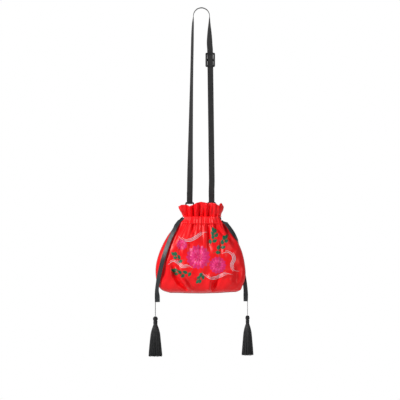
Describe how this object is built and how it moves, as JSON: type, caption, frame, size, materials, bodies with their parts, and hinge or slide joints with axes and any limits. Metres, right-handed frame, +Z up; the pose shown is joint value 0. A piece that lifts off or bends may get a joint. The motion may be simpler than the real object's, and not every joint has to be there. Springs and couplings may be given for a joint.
{
  "type": "drawstring pouch",
  "caption": "Gathered satin kinchaku pouch with ribbon drawstrings, hanging tassels and an adjustable shoulder strap.",
  "frame": {"origin": "underside of the shoulder strap at its highest point, where the pouch hangs", "axes": "+Z up along the hanging strap, -Y out of the pouch's front, +X to the right seen from the front"},
  "size_m": [0.2741, 0.0785, 0.9046],
  "materials": {
    "webbing": "black woven strap tape",
    "slide_plastic": "moulded black plastic",
    "ring_enamel": "black enamelled wire",
    "satin": "vivid red satin with embroidery",
    "ribbon": "soft black ribbon",
    "tassel_thread": "black rayon thread",
    "tassel_cord": "thin grey-black twisted cord"
  },
  "bodies": {
    "strap": {"shoulder_strap": "webbing", "strap_tail": "webbing"},
    "adjuster": {"adjuster": "slide_plastic", "strap_end_fold": "webbing"},
    "left_ring": {"ring_left": "ring_enamel"},
    "right_ring": {"ring_right": "ring_enamel"},
    "pouch": {"pouch_front": "satin", "pouch_back": "satin", "ring_tab_left": "webbing", "ring_tab_right": "webbing", "drawstring_left": "ribbon", "drawstring_right": "ribbon"},
    "left_tassel_cord": {"tassel_cord_left": "tassel_cord"},
    "left_tassel": {"tassel_head_left": "tassel_thread", "tassel_binding_left": "tassel_thread", "tassel_fringe_left": "tassel_thread"},
    "right_tassel_cord": {"tassel_cord_right": "tassel_cord"},
    "right_tassel": {"tassel_head_right": "tassel_thread", "tassel_binding_right": "tassel_thread", "tassel_fringe_right": "tassel_thread"}
  },
  "joints": [
    {"name": "adjuster_slide", "type": "slide", "parent": "strap", "child": "adjuster", "axis": [0.0128, 0, -0.9999], "range_m": [0, 0.3], "deforming": ["strap_tail"]},
    {"name": "left_ring_swing", "type": "hinge", "parent": "strap", "child": "left_ring", "pos_m": [-0.0302, 0, -0.506], "axis": [1, 0, 0], "range_deg": [-40, 40]},
    {"name": "right_ring_swing", "type": "hinge", "parent": "strap", "child": "right_ring", "pos_m": [0.0268, 0, -0.506], "axis": [1, 0, 0], "range_deg": [-40, 40]},
    {"name": "pouch_swing", "type": "hinge", "parent": "left_ring", "child": "pouch", "pos_m": [-0.0302, 0, -0.519], "axis": [1, 0, 0], "range_deg": [-35, 35]},
    {"name": "left_cord_swing", "type": "hinge", "parent": "pouch", "child": "left_tassel_cord", "pos_m": [-0.1189, -0.017, -0.7645], "axis": [0, 1, 0], "range_deg": [-40, 40]},
    {"name": "left_tassel_swing", "type": "hinge", "parent": "left_tassel_cord", "child": "left_tassel", "pos_m": [-0.1189, -0.017, -0.7996], "axis": [1, 0, 0], "range_deg": [-60, 60]},
    {"name": "right_cord_swing", "type": "hinge", "parent": "pouch", "child": "right_tassel_cord", "pos_m": [0.1206, 0.017, -0.7645], "axis": [0, 1, 0], "range_deg": [-40, 40]},
    {"name": "right_tassel_swing", "type": "hinge", "parent": "right_tassel_cord", "child": "right_tassel", "pos_m": [0.1206, 0.017, -0.7996], "axis": [1, 0, 0], "range_deg": [-60, 60]}
  ],
  "couplings": [
    {"joint": "right_ring_swing", "follows": "left_ring_swing", "ratio": 1}
  ]
}
